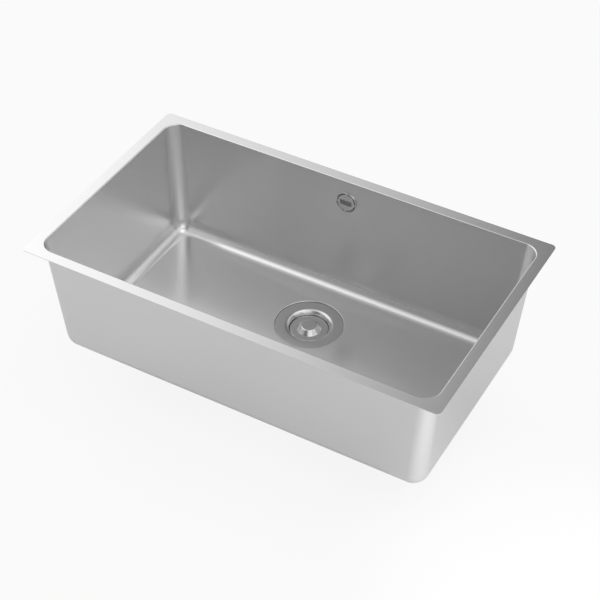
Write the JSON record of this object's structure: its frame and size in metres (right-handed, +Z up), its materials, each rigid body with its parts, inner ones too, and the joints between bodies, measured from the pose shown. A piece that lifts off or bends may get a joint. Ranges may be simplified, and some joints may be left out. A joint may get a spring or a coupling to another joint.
{
  "type": "kitchen sink",
  "caption": "Undermount stainless steel kitchen sink: one deep drafted bowl with a flat rim, a basket waste with a lift plug, and a piped overflow.",
  "frame": {"origin": "middle of the bowl's mouth, in the plane of the rim's top face", "axes": "+X along the sink to the right, +Y to the back wall with the overflow, +Z up"},
  "size_m": [0.75, 0.4483, 0.3162],
  "materials": {
    "bowl_steel": "fine satin",
    "waste_steel": "polished",
    "fastener_steel": "bright",
    "blank_plate": "satin",
    "moulding": "moulded",
    "guide_plastic": "moulded",
    "brass": "turned",
    "seal_rubber": "matt",
    "pad_rubber": "matt"
  },
  "bodies": {
    "sink": {"bowl": "bowl_steel", "sound_pad_left": "pad_rubber", "sound_pad_right": "pad_rubber", "strainer_cup": "waste_steel", "flange_gasket": "seal_rubber", "body_gasket": "seal_rubber", "waste_body": "moulding", "outlet_spider": "moulding", "body_insert": "brass", "centre_screw": "fastener_steel", "overflow_rosette": "waste_steel", "overflow_plate": "blank_plate", "overflow_screw": "fastener_steel", "overflow_gasket": "seal_rubber", "overflow_head": "moulding", "overflow_insert": "brass", "overflow_pipe": "moulding", "pipe_nut_upper": "moulding", "pipe_nut_lower": "moulding", "pipe_washer_upper": "seal_rubber", "pipe_washer_lower": "seal_rubber"},
    "basket": {"basket": "waste_steel", "stem_guide": "guide_plastic", "guide_ring": "seal_rubber"},
    "plug": {"plug_lid": "waste_steel", "knob": "waste_steel", "stem": "fastener_steel", "stopper_plate": "waste_steel", "stopper_seal": "seal_rubber", "stem_nut": "fastener_steel"}
  },
  "joints": [
    {"name": "basket_lift", "type": "slide", "parent": "sink", "child": "basket", "axis": [0, 0, 1], "range_m": [0, 0.3]},
    {"name": "plug_lift", "type": "slide", "parent": "basket", "child": "plug", "axis": [0, 0, 1], "range_m": [0, 0.0075]}
  ]
}
